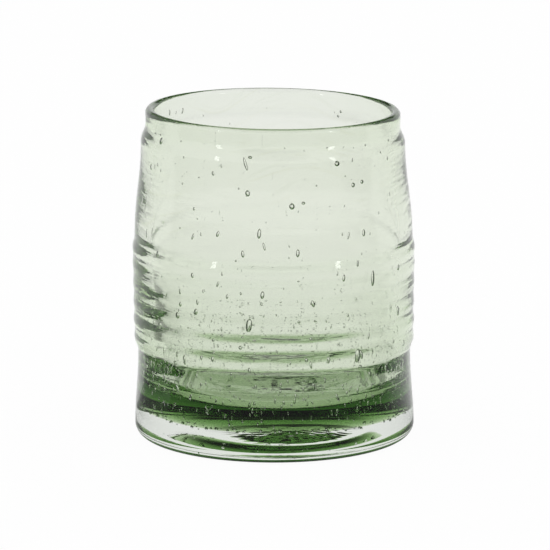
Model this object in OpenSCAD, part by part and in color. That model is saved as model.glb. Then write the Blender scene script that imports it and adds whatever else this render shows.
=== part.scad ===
// Mouth-blown tumbler of seeded glass, made in two gathers that are fused hot.
// The first gather is tinted green: it lines the inside and the floor. The second
// is clear: it is cased over the first, carries the turned rings outside, and runs
// down into a thick clear heel with a polished pontil dish under it.
// Millimetres. Z is the axis of the glass, and the foot stands on the plane Z = 0.

/* [Outside] */
// Height from the table to the top of the lip
glass_h = 101.2; // [84:0.2:130]
// Diameter of the foot at its widest
foot_d = 85.6; // [80:0.2:92]
// Radius of the rounded edge under the foot
foot_edge_r = 2.6; // [1:0.2:5]
// Diameter of the waist, below the rings
waist_d = 83.8; // [80:0.2:88]
// Height of the waist above the table
waist_z = 25.4; // [20:0.2:32]
// Diameter of the wall just above the rings
wall_d = 85; // [80:0.2:90]
// Diameter of the shoulder, below the rim
shoulder_d = 80.5; // [74:0.1:86]
// Depth of the shoulder below the lip
shoulder_drop = 10.2; // [7:0.2:14]
// Diameter of the drawn-in rim
rim_d = 77.5; // [72:0.1:82]
// Depth of the straight rim band below the lip
rim_band = 4.8; // [2.4:0.2:6]

/* [Rings] */
// Number of rings turned round the belt
ring_count = 6; // [2:1:8]
// Height from one crest to the next
ring_pitch = 5.6; // [4:0.2:7.4]
// Depth of the groove between two rings
ring_depth = 0.5; // [0.2:0.05:0.9]
// Diameter over the lowest crest
ring_low_d = 85.8; // [82:0.2:90]
// Diameter over the top crest
ring_top_d = 86.4; // [82:0.2:90]
// Height in which the waist swells out to the lowest crest
ring_run_in = 4.8; // [3:0.2:8]
// Height in which the top crest falls back to the wall
ring_run_out = 3.8; // [2:0.2:8]

/* [Wall] */
// Thickness of the whole wall at the lip
wall_rim_t = 2.9; // [2.4:0.1:4]
// Thickness at the shoulder
wall_shoulder_t = 3.3; // [2.6:0.1:5]
// Thickness just above the rings
wall_mid_t = 4.5; // [3.6:0.1:6]
// Thickness through the top crest
wall_top_ring_t = 5.3; // [4.4:0.1:7]
// Thickness through the lowest crest
wall_low_ring_t = 6.9; // [5.4:0.1:9]
// Thickness beside the floor, at the waist
wall_low_t = 7.2; // [4.6:0.1:8.4]
// Radius of the inside corner between wall and floor
floor_corner_r = 6.5; // [5:0.5:12]

/* [Green lining] */
// Thickness of the green gather at the lip
lining_rim_t = 0.9; // [0.5:0.1:1.6]
// Thickness at the shoulder
lining_shoulder_t = 0.8; // [0.5:0.1:1.8]
// Thickness just above the rings
lining_mid_t = 0.8; // [0.5:0.1:2.8]
// Thickness behind the lowest crest
lining_low_ring_t = 1.2; // [0.8:0.1:4]
// Thickness beside the floor, at the waist
lining_low_t = 2.4; // [1.6:0.1:4]
// Thickness under the floor, at its rim
lining_floor_t = 5.6; // [2:0.2:7]
// How much further the gather's underside sags in the middle
lining_belly = 2.6; // [0:0.2:4]
// Radius of the gather's rounded lower edge
lining_edge_r = 1.2; // [0.6:0.1:3]
// Clear glass between the foot's side and the foot of the green gather's slope
lining_inset = 3.2; // [2:0.1:6]

/* [Clear heel] */
// Thickness of clear glass under the green gather, at its edge
heel_t = 8.8; // [6.4:0.2:16]
// Diameter inside the flat ring on which the glass stands
ring_inside_d = 71; // [56:1:76]
// Rise of the hollow from that ring towards the axis
hollow_rise = 0.95; // [0.1:0.05:1.5]
// Diameter of the level middle of the hollow
hollow_level_d = 30; // [26:1:50]
// Diameter of the polished pontil dish
pontil_d = 23; // [16:1:25]
// Depth of the pontil dish at its middle
pontil_depth = 1.6; // [0.5:0.1:2]

/* [Hidden] */
// Facets round a full turn, and points along each eased stretch, groove and arc
$fn = 180;
ease_steps = 8;
groove_steps = 12;
arc_steps = 9;
belly_steps = 8;

waist_r = waist_d / 2;
lip_r = wall_rim_t / 2;
floor_z = heel_t + lining_floor_t;
corner_z = floor_z + floor_corner_r;
low_crest_z = waist_z + ring_run_in;
top_crest_z = low_crest_z + (ring_count - 1) * ring_pitch;
wall_z = top_crest_z + ring_run_out;
shoulder_z = glass_h - shoulder_drop;
rim_z = glass_h - rim_band;
lip_centre = [rim_d / 2 - lip_r, glass_h - lip_r];
// Where the two gathers meet on the round of the lip, as an angle from outside
lip_split = acos((lining_rim_t - lip_r) / lip_r);

// Part way from a to b, level at both ends
function ease(a, b, t) = a + (b - a) * (1 - cos(180 * t)) / 2;

// Radius at height z of a line that is eased through its stations
function along(line, z, i = 0) =
    i < len(line) - 2 && z > line[i + 1].y
    ? along(line, z, i + 1)
    : ease(line[i].x, line[i + 1].x, (z - line[i].y) / (line[i + 1].y - line[i].y));

// Outline from one [radius, height] to the next, without the first point
function eased(a, b) =
    [for (i = [1 : ease_steps])
        [ease(a.x, b.x, i / ease_steps), a.y + (b.y - a.y) * i / ease_steps]];

// Round stretch of an outline between two angles, with both of its ends
function arc(centre, r, from, to) =
    [for (i = [0 : arc_steps])
        let (a = from + (to - from) * i / arc_steps)
        centre + r * [cos(a), sin(a)]];

// Crest of a ring, counted from 0 at the lowest
function crest(i) =
    [ring_low_d / 2 + (ring_top_d - ring_low_d) / 2 * i / (ring_count - 1),
     low_crest_z + ring_pitch * i];

// Groove from a ring's crest up to the next, a full cosine wave
function groove(i) =
    [for (s = [1 : groove_steps])
        let (t = s / groove_steps, a = crest(i), b = crest(i + 1))
        [a.x + (b.x - a.x) * t - ring_depth * (1 - cos(360 * t)) / 2, a.y + (b.y - a.y) * t]];

// Reads an outline from its far end, or without its first point
function reversed(points) = [for (i = [len(points) - 1 : -1 : 0]) points[i]];
function onward(points) = [for (i = [1 : len(points) - 1]) points[i]];

// Outside without its grooves, as stations of [radius, height] from foot to rim.
// The inner faces are set in from these stations, so they follow the outside.
form = [
    [foot_d / 2, foot_edge_r],
    [waist_r, waist_z],
    crest(0),
    crest(ring_count - 1),
    [wall_d / 2, wall_z],
    [shoulder_d / 2, shoulder_z],
    [rim_d / 2, rim_z]
];
lining_t = [lining_low_t, lining_low_t, lining_low_ring_t, lining_mid_t, lining_mid_t,
            lining_shoulder_t, lining_rim_t];
wall_t = [lining_inset + lining_low_t, wall_low_t, wall_low_ring_t, wall_top_ring_t,
          wall_mid_t, wall_shoulder_t, wall_rim_t];
cavity = [for (i = [0 : len(form) - 1]) form[i] - [wall_t[i], 0]];
fused = [for (i = [0 : len(form) - 1]) cavity[i] + [lining_t[i], 0]];

// Heights at which an inner face has a point, on its way up to the rim band
heights = [for (i = [0 : len(form) - 2])
    for (s = [1 : ease_steps])
        form[i].y + (form[i + 1].y - form[i].y) * s / ease_steps];

// Inner face from the axis: sagging in the middle or level, out to a rounded corner, then
// up along a line. The sag fades out with the square of the radius.
function lined(line, level, corner_r, sag) =
    let (turn_z = level + corner_r, turn_r = along(line, turn_z), flat_r = turn_r - corner_r,
         steps = sag > 0 ? belly_steps : 1)
    concat(
        [for (i = [0 : steps - 1])
            [flat_r * i / steps, level - sag * (1 - pow(i / steps, 2))]],
        arc([turn_r - corner_r, turn_z], corner_r, -90, 0),
        [for (z = heights) if (z > turn_z) [along(line, z), z]]);

// Face where the gathers are fused, and the drinking side with the floor
fused_line = lined(fused, heel_t, lining_edge_r, lining_belly);
inside_line = lined(cavity, floor_z, floor_corner_r, 0);

// Underside from the axis outwards: the pontil dish, a shallow cap of a sphere, then the
// hollow, level at first and eased down to the ring that the glass stands on
dish_r = (pontil_d * pontil_d / 4 + pontil_depth * pontil_depth) / (2 * pontil_depth);
dish_line = concat(
    arc([0, hollow_rise + pontil_depth - dish_r], dish_r, 90, 90 - asin(pontil_d / 2 / dish_r)),
    [for (i = [0 : ease_steps])
        [hollow_level_d / 2 + (ring_inside_d - hollow_level_d) / 2 * i / ease_steps,
         ease(hollow_rise, 0, i / ease_steps)]]);

// Outside, from the foot's rounded edge up to the rim band
outside_line = concat(
    arc([foot_d / 2 - foot_edge_r, foot_edge_r], foot_edge_r, -90, 0),
    eased(form[0], form[1]),
    eased(form[1], crest(0)),
    [for (i = [0 : ring_count - 2]) each groove(i)],
    eased(crest(ring_count - 1), form[4]),
    eased(form[4], form[5]),
    eased(form[5], form[6]));

// Clear outer gather, with its heel
module clear_casing() {
    color([0.88, 0.92, 0.89, 0.45])
    rotate_extrude()
    polygon(concat(
        dish_line,
        outside_line,
        arc(lip_centre, lip_r, 0, 90),
        onward(arc(lip_centre, lip_r, 90, lip_split)),
        reversed(fused_line)));
}

// Green inner gather, with the floor of the glass
module green_lining() {
    color([0.52, 0.68, 0.44, 0.8])
    rotate_extrude()
    polygon(concat(
        fused_line,
        arc(lip_centre, lip_r, lip_split, 180),
        reversed(inside_line)));
}

clear_casing();
green_lining();
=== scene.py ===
import math

import bpy
import numpy as np
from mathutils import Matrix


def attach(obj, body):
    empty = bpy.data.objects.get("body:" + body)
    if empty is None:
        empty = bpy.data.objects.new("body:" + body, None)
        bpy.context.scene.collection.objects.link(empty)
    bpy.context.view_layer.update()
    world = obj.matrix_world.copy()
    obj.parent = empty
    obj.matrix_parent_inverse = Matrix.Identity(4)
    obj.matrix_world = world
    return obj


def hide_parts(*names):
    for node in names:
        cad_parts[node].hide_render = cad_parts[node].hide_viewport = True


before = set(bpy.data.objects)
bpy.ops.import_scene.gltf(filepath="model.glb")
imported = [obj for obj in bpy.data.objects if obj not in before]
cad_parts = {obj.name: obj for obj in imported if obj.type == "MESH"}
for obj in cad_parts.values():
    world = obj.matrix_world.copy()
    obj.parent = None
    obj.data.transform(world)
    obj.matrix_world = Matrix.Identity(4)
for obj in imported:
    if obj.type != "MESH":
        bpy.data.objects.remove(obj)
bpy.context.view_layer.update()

scene = bpy.context.scene
mm = 0.001

# The camera comes first. It stands where the photograph was taken from: in front of the
# glass, 12 degrees above it, with a long lens.
cameraSetup = {
    "place": (0.44 * mm, -1.256, 0.315),
    "pitchDown": 11.96,  # degrees
    "lens": 274.65,
    "sensor": 36.0,
}
cameraData = bpy.data.cameras.new("studioCamera")
cameraData.lens = cameraSetup["lens"]
cameraData.sensor_width = cameraSetup["sensor"]
cameraData.clip_start, cameraData.clip_end = 0.02, 40.0
camera = bpy.data.objects.new("studioCamera", cameraData)
camera.location = cameraSetup["place"]
camera.rotation_euler = (math.radians(90 - cameraSetup["pitchDown"]), 0, 0)
scene.collection.objects.link(camera)
scene.camera = camera
print("camera set")


# A line is a list of stations (radius, height). Between two stations the radius follows half
# a cosine wave, level at both ends: r0 + (r1 - r0) * (1 - cos(pi * t)) / 2.
def easedLine(stations, heights):
    stations = np.asarray(stations, float)
    heights = np.asarray(heights, float)
    step = np.clip(np.searchsorted(stations[:, 1], heights, "right") - 1, 0, len(stations) - 2)
    low, high = stations[step], stations[step + 1]
    t = np.clip((heights - low[..., 1]) / (high[..., 1] - low[..., 1]), 0, 1)
    return low[..., 0] + (high[..., 0] - low[..., 0]) * (1 - np.cos(np.pi * t)) / 2


# A round stretch of a profile: centre + radius * (cos a, sin a) for a between two angles.
def arcPoints(centre, radius, start, end, count):
    a = np.radians(np.linspace(start, end, count))
    return np.column_stack([centre[0] + radius * np.cos(a), centre[1] + radius * np.sin(a)])


def climb(stations, start, end, count):
    heights = np.linspace(start, end, count)
    return np.column_stack([easedLine(stations, heights), heights])


# Smooth step from 0 at a to 1 at b: 3t^2 - 2t^3.
def smooth(a, b, value):
    t = np.clip((value - a) / (b - a), 0, 1)
    return t * t * (3 - 2 * t)


# A mesh from arrays of points and of faces with three or four corners.
def meshFrom(name, points, quads, triangles):
    mesh = bpy.data.meshes.new(name)
    corners = np.concatenate([quads.ravel(), triangles.ravel()]).astype(np.int32)
    sizes = np.concatenate([np.full(len(quads), 4), np.full(len(triangles), 3)]).astype(np.int32)
    starts = np.concatenate([[0], np.cumsum(sizes)[:-1]]).astype(np.int32)
    mesh.vertices.add(len(points))
    mesh.vertices.foreach_set("co", np.asarray(points, np.float32).ravel())
    mesh.loops.add(len(corners))
    mesh.loops.foreach_set("vertex_index", corners)
    mesh.polygons.add(len(sizes))
    mesh.polygons.foreach_set("loop_start", starts)
    mesh.polygons.foreach_set("use_smooth", np.ones(len(sizes), bool))
    mesh.update(calc_edges=True)
    mesh.validate()
    made = bpy.data.objects.new(name, mesh)
    scene.collection.objects.link(made)
    return made


# A profile turned round the axis, closed by one point at each end. Row i, column j of the
# grid is profile point i at the angle 2 pi j / around, so faces look out of the glass.
def turnedGrid(rows, around):
    i = np.arange(rows - 1)[:, None] * around
    j = np.arange(around)[None, :]
    k = (j + 1) % around
    quads = np.stack([i + j, i + k, i + around + k, i + around + j], -1).reshape(-1, 4)
    first, last = rows * around, rows * around + 1
    j, k = j.ravel(), k.ravel()
    top = (rows - 1) * around
    triangles = np.concatenate([
        np.column_stack([np.full(around, first), k, j]),
        np.column_stack([np.full(around, last), top + j, top + k]),
    ])
    return quads, triangles


# The glass as it was turned, in millimetres. The stations lie within a millimetre of those
# of the model's solids; the grooves are shallower and the foot's edge is rounder.
glassShape = {
    "footStation": (42.85, 3.45),
    "waistStation": (41.8, 26.3),
    "wallStation": (42.5, 62.0),
    "shoulderStation": (40.25, 91.0),
    "rimStation": (38.75, 96.4),
    "footEdge": 3.45,
    "crests": [
        (42.90, 30.5), (43.06, 35.8), (43.04, 41.5), (43.08, 47.5), (43.18, 53.5), (43.18, 58.2),
    ],
    "grooves": [0.26, 0.28, 0.18, 0.18, 0.19],
    "lipCentre": (37.3, 99.75),
    "lipRadius": 1.45,
    "cavity": [
        (34.2, 20.9), (36.0, 30.2), (37.9, 58.2), (38.0, 62.0), (36.95, 91.0), (35.85, 96.4),
    ],
    "cornerRadius": 6.5,
    "floorHeight": 14.4,
    # The foot's underside, as height above the table: the pontil dish first, then the soft
    # steps that grinding has left round it.
    "under": [
        (0, 2.35), (5, 1.85), (9, 1.42), (11.5, 1.08), (13.5, 1.09), (17, 1.14), (21, 0.92),
        (25, 0.84), (29, 0.87), (32, 0.27), (34.5, 0.35), (36.5, 0.16), (38.3, 0.07), (39.4, 0),
    ],
    "dishRadius": 11.5,
    "dishShift": 3.7,  # how far the dish sits off the axis
    "scar": 0.04,  # unevenness of the dish's face
    # Points along each stretch of the profile, and round a full turn
    "points": {
        "dish": 56, "edge": 11, "skirt": 22, "runIn": 9, "groove": 15, "runOut": 8, "wall": 25,
        "shoulder": 10, "lip": 19, "inside": 66, "corner": 14, "floor": 10,
    },
    "around": 208,
}
# Where the green gather meets the clear one: radius beyond the cavity's face, by height, and
# below it the seam, which sags from its edge to the middle.
liningShape = {
    "thickness": [(1.6, 20.9), (1.55, 30.2), (0.95, 58.2), (0.78, 62.0), (1.05, 91.0), (1.3, 96.4)],
    "flare": (11.2, 20.5),  # heights between which it runs out to its lower edge
    "seamHeight": 8.9,
    "belly": 2.8,
    "bellyPower": 2.4,
    "edgeRadius": 1.2,
    "edgeReach": 39.8,
    "insideBy": 0.03,  # how far the green keeps inside the glass on the drinking side
    "points": {"seam": 22, "edge": 12, "fused": 66, "lip": 9},
    "around": 160,
}
# How the hand-made glass departs from a true turned form, in millimetres. The lean is a
# sideways shift for each millimetre of height above its pivot. In, rise and fade are the
# heights between which a shift comes or goes.
handShape = {
    "lean": -0.0052,
    "leanPivot": 58.0,
    "rimTilt": 0.43,
    "rimRise": (62, 100),
    "beltTilt": 1.35,
    "beltRise": (26, 31),
    "beltFade": (43, 52),
    "cavityShift": 1.3,
    "cavityFade": (14, 84),
    "outOfRound": 0.07,
    "outOfRoundRise": (4, 20),
    "waves": 0.035,
    "wavesRise": (4, 14),
    "wavesFade": (94, 99),
    "footBelow": 5,  # points lower than this belong to the foot's underside
    "dishFade": (9, 24),  # radii between which the dish's own shift ends
}


# Height of the foot's underside: a cubic through its stations, with the slope at each one
# taken from its neighbours.
def underside(shape, away):
    radius, height = np.array(shape["under"], float).T
    slope = np.gradient(height, radius)
    k = np.clip(np.searchsorted(radius, away, "right") - 1, 0, len(radius) - 2)
    wide = radius[k + 1] - radius[k]
    t = np.clip((away - radius[k]) / wide, 0, 1)
    rise = (height[k] * (2 * t ** 3 - 3 * t ** 2 + 1) + height[k + 1] * (3 * t ** 2 - 2 * t ** 3)
            + wide * (slope[k] * (t ** 3 - 2 * t ** 2 + t) + slope[k + 1] * (t ** 3 - t ** 2)))
    return np.maximum(rise, 0)


# The outside of the glass from the middle of the dish up to the lip: dish, flat of the foot,
# rounded edge, skirt, rings as full cosine waves between crests, wall, shoulder, rim band.
def outerLine(shape):
    count = shape["points"]
    foot = shape["footStation"]
    flatEnd = foot[0] - shape["footEdge"]
    away = np.linspace(0, flatEnd, count["dish"])[1:-1]
    dish = np.column_stack([away, underside(shape, away)])
    edge = arcPoints((flatEnd, shape["footEdge"]), shape["footEdge"], -90, 0, count["edge"])
    crests = shape["crests"]
    below = [foot, shape["waistStation"], crests[0]]
    above = [crests[-1], shape["wallStation"], shape["shoulderStation"], shape["rimStation"]]
    skirt = climb(below, foot[1], below[1][1], count["skirt"])[1:]
    runIn = climb(below, below[1][1], below[2][1], count["runIn"])[1:]
    belt = []
    for low, high, depthHere in zip(crests[:-1], crests[1:], shape["grooves"]):
        t = np.linspace(0, 1, count["groove"])[1:]
        radius = low[0] + (high[0] - low[0]) * t - depthHere * (1 - np.cos(2 * np.pi * t)) / 2
        belt.append(np.column_stack([radius, low[1] + (high[1] - low[1]) * t]))
    runOut = climb(above, above[0][1], above[1][1], count["runOut"])[1:]
    wall = climb(above, above[1][1], above[2][1], count["wall"])[1:]
    shoulder = climb(above, above[2][1], above[3][1], count["shoulder"])[1:]
    return np.concatenate([dish, edge, skirt, runIn, *belt, runOut, wall, shoulder])


# The drinking side from the rim band down to the middle of the floor, set back by `inside`.
def innerLine(shape, inside=0.0):
    cavity, count, radius = shape["cavity"], shape["points"], shape["cornerRadius"]
    cornerTop = cavity[0][1]
    flatEnd = cavity[0][0] - radius
    side = climb(cavity, cornerTop, cavity[-1][1], count["inside"])[::-1]
    side[:, 0] += inside
    corner = arcPoints((flatEnd, cornerTop), radius + inside, 0, -90, count["corner"])
    away = np.linspace(flatEnd, 0, count["floor"])[1:-1]
    floor = np.column_stack([away, np.full(len(away), shape["floorHeight"] - inside)])
    return np.concatenate([side, corner[1:], floor])


# Bends a true grid into the hand-made one. It leans by height, its rim and its rings are
# tilted, its cavity sits off centre low down, and slow waves run over both faces: every shift
# is a smooth function of the angle and the height. The dish sits off centre too, and its face
# is uneven, a sum of sine waves.
def handMade(radius, height, angle, inner):
    h, g = handShape, glassShape
    atFoot = height < h["footBelow"]
    swell = h["outOfRound"] * (np.cos(2 * angle + 0.6) - 1) * smooth(*h["outOfRoundRise"], height)
    # The three waves' weights add up to 2.7, and taking that off keeps the outside within the
    # turned form.
    ripple = (np.sin(3 * angle + 0.11 * height + 1.0) + np.sin(5 * angle - 0.23 * height + 2.2)
              + 0.7 * np.sin(9 * angle + 0.31 * height) - 2.7) * h["waves"] / 2.7
    ripple = ripple * smooth(*h["wavesRise"], height) * (1 - smooth(*h["wavesFade"], height))
    radius = radius + np.where(inner, -ripple, ripple) + np.where(inner, 0, swell)
    x = radius * np.cos(angle)
    y = radius * np.sin(angle)
    low = np.where(inner, h["cavityShift"] * (1 - smooth(*h["cavityFade"], height)), 0)
    under = (1 - smooth(0.6 * g["dishRadius"], 1.25 * g["dishRadius"], radius)) * atFoot
    scar = (np.sin(1.1 * x + 0.4 * y) + np.sin(0.9 * y - 0.7 * x + 1.3)
            + np.sin(1.7 * x - 1.2 * y + 0.5) + np.sin(2.3 * y + 0.8 * x + 2.1))
    rimDrop = h["rimTilt"] * (1 + np.cos(angle)) * smooth(*h["rimRise"], height)
    z = height - rimDrop + g["scar"] * scar * under
    belt = smooth(*h["beltRise"], height) * (1 - smooth(*h["beltFade"], height))
    z = z - np.where(inner, 0, h["beltTilt"] * np.sin(angle) * belt)
    x = x + low + h["lean"] * (height - h["leanPivot"])
    x = x + g["dishShift"] * (1 - smooth(*h["dishFade"], radius)) * atFoot
    return np.stack([x, y, z], -1)


# Points of a turned body: one row for each point of its line, and the two poles.
def turnedBody(line, innerFrom, around):
    angle = np.linspace(0, 2 * np.pi, around, endpoint=False)[None, :]
    radius, height = line[:, 0][:, None], line[:, 1][:, None]
    inner = (np.arange(len(line)) >= innerFrom)[:, None]
    rows = handMade(radius, height, angle, inner)
    poles = np.stack([rows[0].mean(0), rows[-1].mean(0)])
    return np.concatenate([rows.reshape(-1, 3), poles])


shape = glassShape
outer = outerLine(shape)
lip = arcPoints(shape["lipCentre"], shape["lipRadius"], 0, 180, shape["points"]["lip"])
skinLine = np.concatenate([outer, lip, innerLine(shape)])
skinPoints = turnedBody(skinLine, len(outer) + len(lip) // 2, shape["around"])
skinQuads, skinTriangles = turnedGrid(len(skinLine), shape["around"])
print("glass skin:", len(skinPoints), "points")

# Air seeds, in millimetres. The larger ones are placed one by one: angle round the glass in
# degrees, height, half width, half height. The rest are strewn by a seeded draw.
seedShape = {
    "draw": 3824,
    "placed": [
        (151, 96.4, 0.36, 0.9), (140, 96.0, 0.36, 0.9), (55, 95.2, 0.36, 0.42), (57, 93.6, 0.39, 0.42),
        (-150, 93.8, 0.76, 1.21), (-157, 95.5, 0.61, 0.36), (-152, 95.6, 0.45, 0.36),
        (-157, 85.4, 0.55, 0.91), (-151, 86.8, 0.27, 0.61), (-148, 85.3, 0.24, 0.48),
        (-165, 73.4, 0.36, 2.42), (-157, 65.2, 0.36, 1.52), (-147, 59.9, 0.61, 1.09),
        (-136, 95.2, 0.30, 0.30), (-117, 87.2, 0.42, 0.67), (-133, 82.9, 0.27, 0.36),
        (-124, 85.5, 0.24, 0.27), (-102, 90.7, 0.45, 1.97), (-100, 92.6, 0.67, 0.39),
        (-101, 81.9, 0.73, 0.97), (-105, 83.2, 0.27, 0.30), (-126, 75.9, 0.33, 0.55),
        (-124, 73.0, 0.24, 0.24), (-133, 69.5, 0.27, 0.30), (-126, 67.6, 0.30, 1.09),
        (-114, 69.2, 0.45, 0.97), (-122, 68.6, 0.24, 0.55), (-96, 69.9, 0.58, 1.52),
        (-103, 63.7, 0.48, 1.09), (-94, 66.1, 0.36, 1.21), (-106, 61.5, 0.30, 0.36),
        (-61, 90.4, 0.85, 0.79), (-53, 83.3, 0.61, 0.73), (-48, 83.9, 0.55, 0.61),
        (-57, 86.3, 0.24, 0.24), (-71, 84.1, 0.27, 0.27), (-82, 78.1, 0.85, 0.97),
        (-77, 79.0, 0.58, 0.45), (-44, 94.5, 0.30, 0.36), (-65, 95.2, 0.27, 0.30),
        (-30, 89.5, 0.30, 0.61), (-26, 94.3, 0.39, 0.48), (-30, 78.2, 0.24, 0.61),
        (-49, 68.3, 0.52, 1.09), (-57, 68.1, 0.33, 1.09), (-60, 68.8, 0.24, 0.55),
        (-80, 64.0, 0.55, 1.21), (-53, 59.3, 0.30, 0.91), (-126, 56.0, 0.45, 0.91),
        (-133, 50.3, 0.36, 0.91), (-133, 46.2, 0.45, 0.79), (-135, 42.2, 0.70, 0.91),
        (-125, 44.3, 0.61, 1.09), (-124, 47.6, 0.36, 0.73), (-114, 54.1, 0.33, 0.91),
        (-121, 51.6, 0.24, 0.61), (-110, 50.6, 0.36, 0.79), (-104, 51.9, 0.33, 0.45),
        (-95, 51.6, 0.61, 1.21), (-112, 57.4, 0.27, 0.48), (-101, 41.4, 0.97, 2.06),
        (-152, 37.9, 0.42, 0.97), (-147, 37.8, 0.73, 1.09), (-157, 37.9, 0.33, 0.67),
        (-113, 37.7, 0.45, 0.58), (-117, 36.1, 0.36, 0.42), (-104, 37.5, 0.39, 0.36),
        (-99, 36.6, 0.61, 0.24), (-105, 34.6, 0.52, 0.64), (-103, 35.5, 0.27, 0.30),
        (-117, 32.2, 0.48, 0.61), (-132, 29.6, 0.45, 0.91), (-138, 28.0, 0.48, 0.73),
        (-99, 27.3, 0.36, 0.27), (-45, 54.3, 0.67, 2.42), (-60, 55.6, 0.48, 1.15),
        (-53, 59.2, 0.30, 0.91), (-27, 55.3, 0.61, 1.09), (-74, 48.3, 0.55, 1.06),
        (-80, 55.6, 0.36, 0.27), (-27, 41.6, 0.61, 1.36), (-58, 43.2, 0.36, 0.39),
        (-80, 42.4, 0.45, 0.45), (-73, 42.4, 0.48, 0.27), (-66, 40.6, 0.24, 0.61),
        (-47, 36.1, 0.30, 0.91), (-75, 37.0, 0.48, 0.48), (-53, 30.7, 0.97, 1.97),
        (-51, 27.7, 0.61, 0.61), (-77, 30.7, 0.48, 0.61),
    ],
    "placedShare": 0.45,  # how far in they lie, as a share of the wall
    "placedTip": 0.16,  # how much they are tipped, as a spread in radians
    # x, y and half width of the larger ones in the green floor, then their height, and their
    # stretch outwards, sideways and up
    "floor": [
        (-11.5, 4.0, 0.6), (-1.7, -4.5, 0.55), (-0.9, -9.5, 0.55), (-16, -6.5, 0.6),
        (-25, -8, 0.5), (-14, -22, 0.6), (-6, -21, 0.5), (20.3, 3.0, 0.8), (4.3, -4.5, 0.55),
        (8.5, -8.5, 0.6), (19.4, -16, 0.6), (27.5, -10, 0.35), (16.8, 17, 0.35),
        (-8, 16, 0.35), (-6.5, 22, 0.35),
    ],
    "floorLevel": 11.2,
    "floorStretch": (1.1, 1.1, 0.9),
    # How many, from and to height, smallest and largest half width, least and most stretch,
    # and how far in at most, as a share of the wall
    "strewn": [
        (210, 44, 96, 0.09, 0.26, 1.1, 2.6, 0.9),
        (240, 30, 44, 0.10, 0.30, 1.2, 2.8, 0.9),
        (300, 13.5, 31, 0.16, 0.5, 1.3, 3.0, 0.9),
        (420, 11, 25.5, 0.2, 0.42, 1.3, 2.6, 0.35),
    ],
    "strewnFrom": 0.1,  # how far in at least
    "strewnTip": 0.2,
    "sizePower": 1.7,  # above 1 it makes small ones more common
    # In the wall: depth of the grooves and waves that seeds stay out of, the least glass
    # between a seed and a face, and what its half thickness leaves of half the room
    "skinDepth": 0.5,
    "leastGlass": 0.25,
    "leastRoom": 0.3,
    # How many, from and to radius, smallest and largest half width, from and to height. In
    # the two at the seam, the height counts from the seam.
    "seamRing": (200, 35.2, 39.4, 0.22, 0.58, -0.35, 1.2),
    "seamDisc": (36, 0, 32, 0.14, 0.40, -0.3, 0.3),
    "floorFew": (26, 0, 26, 0.12, 0.32, 9.6, 12.1),
    "foot": (46, 36, 41, 0.10, 0.24, 0.9, 4.2),
    "footReach": (41.5, 2.6),  # furthest out in the foot, and height below which that narrows
}


# Height of the seam: edge height - belly * (1 - (away / reach) ^ power).
def seamLine(away):
    lining = liningShape
    sag = 1 - (away / lining["edgeReach"]) ** lining["bellyPower"]
    return lining["seamHeight"] - lining["belly"] * sag


# Places seeds in the wall: a share of the way from the outer to the inner face, and clear of
# both. Returns the centres, and the half thicknesses that fit there.
def inWall(angle, height, share, flat):
    outside = [shape["footStation"], shape["waistStation"], shape["crests"][0], shape["crests"][-1],
               shape["wallStation"], shape["shoulderStation"], shape["rimStation"]]
    cavity, corner = shape["cavity"], shape["cornerRadius"]
    drop = np.clip(cavity[0][1] - height, 0, corner)
    inner = easedLine(cavity, height) - corner + np.sqrt(corner ** 2 - drop ** 2)
    outer = easedLine(outside, height) - seedShape["skinDepth"]
    room = outer - inner
    flat = np.minimum(flat, 0.5 * room - seedShape["leastRoom"])
    least = (flat + seedShape["leastGlass"]) / room
    share = np.clip(share, least, 1 - least)
    a, b = handMade(outer, height, angle, False), handMade(inner, height, angle, True)
    return a + (b - a) * share[:, None], flat


# Half widths with many small ones: small * (large / small) ** (u ** power), u drawn evenly.
def drawnSizes(draw, count, small, large):
    return small * (large / small) ** (draw.random(count) ** seedShape["sizePower"])


# A closed ball of rings and two poles for a bubble. Its rings run down from the top, so its
# faces look into the air inside.
def bubbleBall(rings, around):
    a = np.pi * np.arange(1, rings + 1)[:, None] / (rings + 1)
    b = 2 * np.pi * np.arange(around)[None, :] / around
    points = np.stack([np.sin(a) * np.cos(b), np.sin(a) * np.sin(b), np.cos(a) + 0 * b], -1)
    poles = [[0, 0, 1], [0, 0, -1]]
    return np.concatenate([points.reshape(-1, 3), poles]), *turnedGrid(rings, around)


# Every bubble is the ball stretched to (radial, sideways, upright) half sizes, tipped a
# little in the wall's plane and turned to its angle round the glass.
def bubbleMesh(ball, centres, angle, halves, tip):
    points, quads, triangles = ball
    p = points[None] * halves[:, None, :]
    c, s = np.cos(tip)[:, None], np.sin(tip)[:, None]
    side, up = p[..., 1] * c - p[..., 2] * s, p[..., 1] * s + p[..., 2] * c
    c, s = np.cos(angle)[:, None], np.sin(angle)[:, None]
    turned = np.stack([p[..., 0] * c - side * s, p[..., 0] * s + side * c, up], -1)
    turned = turned + centres[:, None, :]
    step = (np.arange(len(centres)) * len(points))[:, None, None]
    quads, triangles = (quads[None] + step).reshape(-1, 4), (triangles[None] + step).reshape(-1, 3)
    return turned.reshape(-1, 3), quads, triangles


draw = np.random.default_rng(seedShape["draw"])
smallBall, largeBall = bubbleBall(3, 6), bubbleBall(7, 11)
meshes = [(skinPoints, skinQuads, skinTriangles)]

placed = np.array(seedShape["placed"])
angle = np.radians(placed[:, 0])
share = np.full(len(placed), seedShape["placedShare"])
centres, flat = inWall(angle, placed[:, 1], share, placed[:, 2])
halves = np.column_stack([flat, placed[:, 2], placed[:, 3]])
tips = draw.normal(0, seedShape["placedTip"], len(placed))
meshes.append(bubbleMesh(largeBall, centres, angle, halves, tips))

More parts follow.
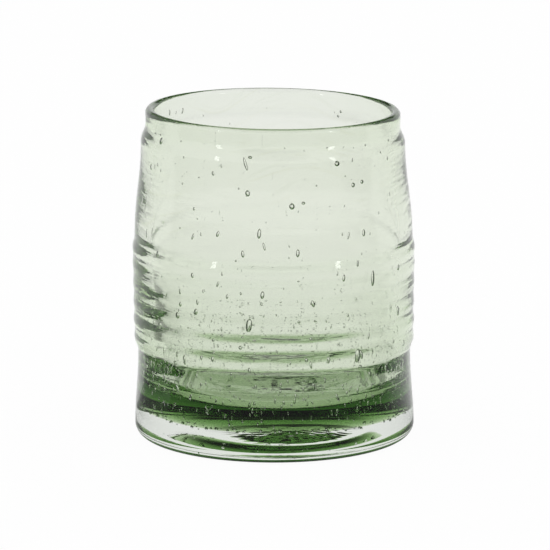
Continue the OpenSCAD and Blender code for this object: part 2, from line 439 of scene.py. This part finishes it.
inFloor = np.array(seedShape["floor"])
away, angle = np.hypot(inFloor[:, 0], inFloor[:, 1]), np.arctan2(inFloor[:, 1], inFloor[:, 0])
centres = handMade(away, np.full(len(away), seedShape["floorLevel"]), angle, True)
halves = inFloor[:, [2, 2, 2]] * seedShape["floorStretch"]
meshes.append(bubbleMesh(largeBall, centres, angle, halves, angle * 0))

for count, low, high, small, large, leastStretch, mostStretch, deepest in seedShape["strewn"]:
    angle, height = draw.uniform(0, 2 * np.pi, count), draw.uniform(low, high, count)
    half = drawnSizes(draw, count, small, large)
    share = draw.uniform(seedShape["strewnFrom"], deepest, count)
    centres, flat = inWall(angle, height, share, half)
    halves = np.column_stack([flat, half, half * draw.uniform(leastStretch, mostStretch, count)])
    tips = draw.normal(0, seedShape["strewnTip"], count)
    meshes.append(bubbleMesh(smallBall, centres, angle, halves, tips))

for zone in ("seamRing", "seamDisc", "floorFew", "foot"):
    count, low, high, small, large, bottom, top = seedShape[zone]
    angle = draw.uniform(0, 2 * np.pi, count)
    away = np.sqrt(draw.uniform(low ** 2, high ** 2, count))
    half = drawnSizes(draw, count, small, large)
    height = draw.uniform(bottom, top, count)
    if zone.startswith("seam"):
        height += seamLine(away)
    if zone == "foot":
        furthest, edgeHeight = seedShape["footReach"]
        away = np.minimum(away, furthest - np.maximum(edgeHeight - height, 0))
    centres = handMade(away, height, angle, zone != "foot")
    meshes.append(bubbleMesh(smallBall, centres, angle, np.column_stack([half] * 3), angle * 0))

counts = np.cumsum([0] + [len(part[0]) for part in meshes])
allPoints = np.concatenate([part[0] for part in meshes]) * mm
allQuads = np.concatenate([part[1] + start for part, start in zip(meshes, counts)])
allTriangles = np.concatenate([part[2] + start for part, start in zip(meshes, counts)])
glassSkin = meshFrom("glassSkin", allPoints, allQuads, allTriangles)
print("seeds and skin:", len(allQuads) * 2 + len(allTriangles), "triangles")

# The green gather, a closed body a hair inside the glass. Its underside domes down.
lining = liningShape
hair, liningCount = lining["insideBy"], lining["points"]
fusedHeights = np.linspace(lining["flare"][0], shape["rimStation"][1], liningCount["fused"])
fusedRadius = easedLine(shape["cavity"], fusedHeights) + easedLine(lining["thickness"], fusedHeights)
edgeCentre = (lining["edgeReach"] - lining["edgeRadius"], lining["seamHeight"] + lining["edgeRadius"])
edge = arcPoints(edgeCentre, lining["edgeRadius"], -90, 0, liningCount["edge"])
seamAway = np.linspace(0, edge[0, 0], liningCount["seam"])[1:-1]
seam = np.column_stack([seamAway, seamLine(seamAway)])
fusedWall = np.column_stack([fusedRadius, fusedHeights])
flared = 1 - smooth(*lining["flare"], fusedHeights)
fusedWall[:, 0] += (lining["edgeReach"] - fusedWall[0, 0]) * flared
# Where the two gathers part on the round of the lip, as an angle from outside
lipPart = math.degrees(math.acos(lining["thickness"][-1][0] / shape["lipRadius"] - 1))
lipRadius = shape["lipRadius"] - hair
lipInside = arcPoints(shape["lipCentre"], lipRadius, lipPart, 180, liningCount["lip"])
liningLine = np.concatenate([seam, edge, fusedWall, lipInside, innerLine(shape, hair)])
liningPoints = turnedBody(liningLine, 0, lining["around"])
greenLining = meshFrom("greenLining", liningPoints * mm, *turnedGrid(len(liningLine), lining["around"]))
print("green lining:", len(liningPoints), "points")


# Materials
def newMaterial(name):
    material = bpy.data.materials.new(name)
    material.use_nodes = True
    tree = material.node_tree
    tree.nodes.clear()
    return material, tree, tree.nodes.new("ShaderNodeOutputMaterial")


def feed(tree, socket, value):
    if isinstance(value, bpy.types.NodeSocket):
        tree.links.new(value, socket)
    else:
        socket.default_value = value


def mathNode(tree, operation, *values, clamp=False):
    node = tree.nodes.new("ShaderNodeMath")
    node.operation, node.use_clamp = operation, clamp
    for socket, value in zip(node.inputs, values):
        feed(tree, socket, value)
    return node.outputs[0]


def mapRange(tree, value, low, high, toLow=0.0, toHigh=1.0):
    node = tree.nodes.new("ShaderNodeMapRange")
    node.interpolation_type = "SMOOTHSTEP"
    for socket, here in zip(node.inputs, (value, low, high, toLow, toHigh)):
        feed(tree, socket, here)
    return node.outputs[0]


def noiseNode(tree, vector, scale, detail=2.0, rough=0.5):
    node = tree.nodes.new("ShaderNodeTexNoise")
    inputs = {"Vector": vector, "Scale": scale, "Detail": detail, "Roughness": rough}
    for name, value in inputs.items():
        feed(tree, node.inputs[name], value)
    return node.outputs["Fac"]


# Marks that turning and blowing leave in the glass. Lines: thin level lines that wander up and down and
# fade in and out; the materials tint the glass darker on them, a painted shade for the light that real
# cords bend aside. Ripple: a height for fine turning ripples.
def makeBlownMarks():
    group = bpy.data.node_groups.new("blownMarks", "ShaderNodeTree")
    for name, value in (("Spacing", 7.0), ("Wander", 1.0), ("Line Width", 0.08), ("Lowest", 60.0)):
        socket = group.interface.new_socket(name, in_out="INPUT", socket_type="NodeSocketFloat")
        socket.default_value = value
    for name in ("Lines", "Ripple"):
        group.interface.new_socket(name, in_out="OUTPUT", socket_type="NodeSocketFloat")
    given, out = group.nodes.new("NodeGroupInput"), group.nodes.new("NodeGroupOutput")
    coords = group.nodes.new("ShaderNodeTexCoord").outputs["Object"]
    inMm = group.nodes.new("ShaderNodeVectorMath")
    inMm.operation = "SCALE"
    group.links.new(coords, inMm.inputs[0])
    inMm.inputs["Scale"].default_value = 1000
    place = inMm.outputs[0]
    split = group.nodes.new("ShaderNodeSeparateXYZ")
    group.links.new(place, split.inputs[0])
    level = split.outputs["Z"]
    slow = noiseNode(group, place, 0.022, 1.0)
    cloud = noiseNode(group, place, 0.05, 3.0)
    along = mathNode(group, "DIVIDE", level, given.outputs["Spacing"])
    bend = mathNode(group, "MULTIPLY", mathNode(group, "SUBTRACT", slow, 0.5), 6.0)
    bent = mathNode(group, "MULTIPLY_ADD", bend, given.outputs["Wander"], along)
    phase = mathNode(group, "FRACT", bent)
    off = mathNode(group, "ABSOLUTE", mathNode(group, "SUBTRACT", phase, 0.5))
    line = mapRange(group, off, 0.0, given.outputs["Line Width"], 1.0, 0.0)
    shown = mapRange(group, cloud, 0.42, 0.62)
    lowest = given.outputs["Lowest"]
    above = mapRange(group, level, lowest, mathNode(group, "ADD", lowest, 10.0))
    lines = mathNode(group, "MULTIPLY", mathNode(group, "MULTIPLY", line, shown), above)
    stretched = group.nodes.new("ShaderNodeMapping")
    stretched.inputs["Scale"].default_value = (0.25, 0.25, 1.6)
    group.links.new(place, stretched.inputs["Vector"])
    turned = noiseNode(group, stretched.outputs[0], 0.35, 2.0)
    ripple = mathNode(group, "MULTIPLY", turned, mapRange(group, level, 14, 24))
    group.links.new(lines, out.inputs["Lines"])
    group.links.new(ripple, out.inputs["Ripple"])
    return group


blownMarks = makeBlownMarks()

# The green gather only absorbs light: the skin round it does all the bending. Light and dark are the
# tints between the level lines and on them, the dark one a painted shade for the light that real cords
# bend aside; ripple is in metres.
glassLooks = {
    "clear": {"ior": 1.5, "tint": (0.1, 0.3, 0.0), "density": 2.5, "light": (1.0, 1.0, 1.0),
              "dark": (0.965, 0.97, 0.955), "ripple": 0.00006, "spacing": 9.0, "wander": 1.3},
    "green": {"ior": 1.0, "tint": (0.214, 0.49, 0.0), "density": 98.0, "light": (1.0, 1.0, 0.98),
              "dark": (0.98, 0.98, 0.94), "ripple": 0.0, "spacing": 8.0, "wander": 1.0},
}


def glassMaterial(name, looks):
    material, tree, output = newMaterial(name)
    principled = tree.nodes.new("ShaderNodeBsdfPrincipled")
    principled.inputs["Metallic"].default_value = 0
    principled.inputs["Roughness"].default_value = 0
    principled.inputs["IOR"].default_value = looks["ior"]
    principled.inputs["Transmission Weight"].default_value = 1
    marks = tree.nodes.new("ShaderNodeGroup")
    marks.node_tree = blownMarks
    marks.inputs["Spacing"].default_value = looks["spacing"]
    marks.inputs["Wander"].default_value = looks["wander"]
    # Painted shade: the glass is tinted darker along the cord lines, where real cords bend light aside.
    paintedCordShade = tree.nodes.new("ShaderNodeMix")
    paintedCordShade.data_type = "RGBA"
    tree.links.new(marks.outputs["Lines"], paintedCordShade.inputs["Factor"])
    paintedCordShade.inputs["A"].default_value = (*looks["light"], 1)
    paintedCordShade.inputs["B"].default_value = (*looks["dark"], 1)
    tree.links.new(paintedCordShade.outputs["Result"], principled.inputs["Base Color"])
    if looks["ripple"]:
        bump = tree.nodes.new("ShaderNodeBump")
        bump.inputs["Strength"].default_value = 1
        bump.inputs["Distance"].default_value = looks["ripple"]
        tree.links.new(marks.outputs["Ripple"], bump.inputs["Height"])
        tree.links.new(bump.outputs["Normal"], principled.inputs["Normal"])
    absorption = tree.nodes.new("ShaderNodeVolumeAbsorption")
    absorption.inputs["Color"].default_value = (*looks["tint"], 1)
    absorption.inputs["Density"].default_value = looks["density"]
    tree.links.new(principled.outputs["BSDF"], output.inputs["Surface"])
    tree.links.new(absorption.outputs["Volume"], output.inputs["Volume"])
    return material


glassSkin.data.materials.append(glassMaterial("clearGlass", glassLooks["clear"]))
greenLining.data.materials.append(glassMaterial("greenGlass", glassLooks["green"]))
print("glass materials made")

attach(glassSkin, "root")
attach(greenLining, "root")
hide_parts("clear_casing")
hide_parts("green_lining")

# The studio: a white table that is painted darker in front of the glass where reflections see it, a
# white room that is dimmer overhead, a dark card beside the glass and two soft lamps.
studio = {
    "tableReach": 6.0,
    "tableDrop": 0.05,  # millimetres under the foot, so that no faces share a plane
    "tableLit": 0.82,
    # How much of the table's own light shows, and how bright it is: to the camera, through glass and in
    # a reflection. The dim value in a reflection is painted shade on the table in front of the glass.
    "share": (0.96, 0.75, 0.9),
    "glow": (1.0, 0.9, 0.2),
    # Painted shade: in reflections the table is dim in front of the glass and brighter behind it. From
    # and to y in metres, and to how much.
    "paintedShadeByY": (-0.02, 0.06, 1.0),
    # The room's brightness low down and overhead, the sines of the heights between which it
    # falls, and how far to the side a direction points where it stays bright.
    "roomLow": 0.93,
    "roomHigh": 0.05,
    "roomRise": (0.24, 0.33),
    "roomSide": (0.3, 0.55),
    "lamps": [(-131, 15), (127, 16)],  # degrees from the way the camera looks, and above level
    "lampAway": 1.3,
    "lampBase": 0.05,
    "lampSize": (0.09, 0.42),
    "lampPower": 0.6,
}
# The card: from and to angle in degrees from the way the camera looks, and from and to metres
# away. Its shade fades out between two distances, and to the side between two angles.
cardSetup = {
    "sweep": (-96, -58),
    "reach": (0.062, 0.16),
    "height": 0.3,  # millimetres above the table
    "steps": 12,
    "fade": (0.11, 0.185),
    "sideFade": (68, 50),
    "shade": 0.3,
    "fadedShade": 0.8,
}


# One of three values by the way a surface is seen: by the camera, through glass or in a
# reflection. Where light only falls on it, the sum is nothing.
def seenValue(tree, values):
    path = tree.nodes.new("ShaderNodeLightPath").outputs
    through = path["Is Transmission Ray"]
    reflected = mathNode(tree, "SUBTRACT", path["Is Glossy Ray"], through, clamp=True)
    total = 0.0
    for seen, value in zip((path["Is Camera Ray"], through, reflected), values):
        total = mathNode(tree, "MULTIPLY_ADD", seen, value, total)
    return total


def mixShaders(tree, share, first, second):
    mix = tree.nodes.new("ShaderNodeMixShader")
    tree.links.new(share, mix.inputs[0])
    tree.links.new(first.outputs[0], mix.inputs[1])
    tree.links.new(second.outputs[0], mix.inputs[2])
    return mix.outputs[0]


# A gray colour from one value.
def grayFrom(tree, value):
    gray = tree.nodes.new("ShaderNodeCombineColor")
    for k in range(3):
        tree.links.new(value, gray.inputs[k])
    return gray.outputs[0]


# The texture coordinate of the given kind, and its x, y and z on their own.
def splitCoords(tree, kind):
    coords = tree.nodes.new("ShaderNodeTexCoord").outputs[kind]
    parts = tree.nodes.new("ShaderNodeSeparateXYZ")
    tree.links.new(coords, parts.inputs[0])
    return coords, parts.outputs


noTriangles = np.zeros((0, 3), int)
reach = studio["tableReach"]
corners = np.array([[-reach, -reach], [reach, -reach], [reach, reach], [-reach, reach]])
corners = np.column_stack([corners, np.full(4, -studio["tableDrop"] * mm)])
table = meshFrom("table", corners, np.array([[0, 1, 2, 3]]), noTriangles)
material, tree, output = newMaterial("tableWhite")
diffuse = tree.nodes.new("ShaderNodeBsdfDiffuse")
diffuse.inputs["Color"].default_value = (studio["tableLit"],) * 3 + (1,)
emission = tree.nodes.new("ShaderNodeEmission")
emission.inputs["Color"].default_value = (1, 1, 1, 1)
spot = splitCoords(tree, "Object")[1]
toCamera, throughGlass, paintedFrontShade = studio["glow"]
near, far, behind = studio["paintedShadeByY"]
# Painted shade: in reflections the table glows dim in front of the glass and bright behind it, by its
# y.
paintedReflectionShade = mapRange(tree, spot["Y"], near, far, paintedFrontShade, behind)
glow = seenValue(tree, (toCamera, throughGlass, paintedReflectionShade))
tree.links.new(glow, emission.inputs["Strength"])
surface = mixShaders(tree, seenValue(tree, studio["share"]), diffuse, emission)
tree.links.new(surface, output.inputs["Surface"])
table.data.materials.append(material)

# The card lies flat beside the glass, out of the picture, and fades out away from it. It is
# what the dark zone at the left of the floor shows.
material, tree, output = newMaterial("cardGray")
cardDiffuse = tree.nodes.new("ShaderNodeBsdfDiffuse")
place, spot = splitCoords(tree, "Object")
length = tree.nodes.new("ShaderNodeVectorMath")
length.operation = "LENGTH"
tree.links.new(place, length.inputs[0])
dark, faded = cardSetup["shade"], cardSetup["fadedShade"]
fadedAway = mapRange(tree, length.outputs["Value"], *cardSetup["fade"], dark, faded)
sideAngle = mathNode(tree, "ARCTAN2", mathNode(tree, "ABSOLUTE", spot["X"]), spot["Y"])
darkFrom, fadedFrom = (math.radians(value) for value in cardSetup["sideFade"])
fadedAside = mapRange(tree, sideAngle, fadedFrom, darkFrom, faded, dark)
shadeHere = mathNode(tree, "MAXIMUM", fadedAway, fadedAside)
tree.links.new(grayFrom(tree, shadeHere), cardDiffuse.inputs["Color"])
tree.links.new(cardDiffuse.outputs[0], output.inputs["Surface"])
steps = cardSetup["steps"]
a = np.radians(np.linspace(*cardSetup["sweep"], steps + 1))
direction = np.column_stack([np.sin(a), np.cos(a)])
points = np.concatenate([away * direction for away in cardSetup["reach"]])
points = np.column_stack([points, np.full(len(points), cardSetup["height"] * mm)])
k = np.arange(steps)
cardQuads = np.column_stack([k, k + 1, k + steps + 2, k + steps + 1])
card = meshFrom("card0", points, cardQuads, noTriangles)
card.data.materials.append(material)
card.visible_camera = card.visible_diffuse = card.visible_shadow = False

for number, (turn, above) in enumerate(studio["lamps"]):
    lamp = bpy.data.lights.new("softLamp%d" % number, "AREA")
    lamp.shape = "RECTANGLE"
    lamp.size, lamp.size_y = studio["lampSize"]
    lamp.energy = studio["lampPower"]
    holder = bpy.data.objects.new(lamp.name, lamp)
    turn, above = math.radians(turn), math.radians(above)
    flatAway = studio["lampAway"] * math.cos(above)
    lampHeight = studio["lampAway"] * math.sin(above) + studio["lampBase"]
    holder.location = (flatAway * math.sin(turn), flatAway * math.cos(turn), lampHeight)
    holder.rotation_euler = (math.pi / 2 - above, 0, math.pi - turn)
    holder.visible_camera = holder.visible_transmission = False
    scene.collection.objects.link(holder)

world = bpy.data.worlds.new("studioRoom")
scene.world = world
world.use_nodes = True
tree = world.node_tree
tree.nodes.clear()
plain, room = tree.nodes.new("ShaderNodeBackground"), tree.nodes.new("ShaderNodeBackground")
plain.inputs["Color"].default_value = (1, 1, 1, 1)
way = splitCoords(tree, "Generated")[1]
bright = studio["roomLow"]
byHeight = mapRange(tree, way["Z"], *studio["roomRise"], bright, studio["roomHigh"])
aside = mathNode(tree, "ABSOLUTE", way["X"])
byWay = mapRange(tree, aside, *studio["roomSide"], 0, bright)
roomShade = mathNode(tree, "MAXIMUM", byHeight, byWay)
tree.links.new(grayFrom(tree, roomShade), room.inputs["Color"])
background = mixShaders(tree, seenValue(tree, (0, 1, 1)), plain, room)
tree.links.new(background, tree.nodes.new("ShaderNodeOutputWorld").inputs["Surface"])
print("studio set")

scene.view_settings.view_transform = "Standard"
scene.cycles.max_bounces = 160
scene.cycles.transmission_bounces = 160
scene.cycles.glossy_bounces = 100
scene.cycles.transparent_max_bounces = 40
scene.cycles.sample_clamp_indirect = 6.0
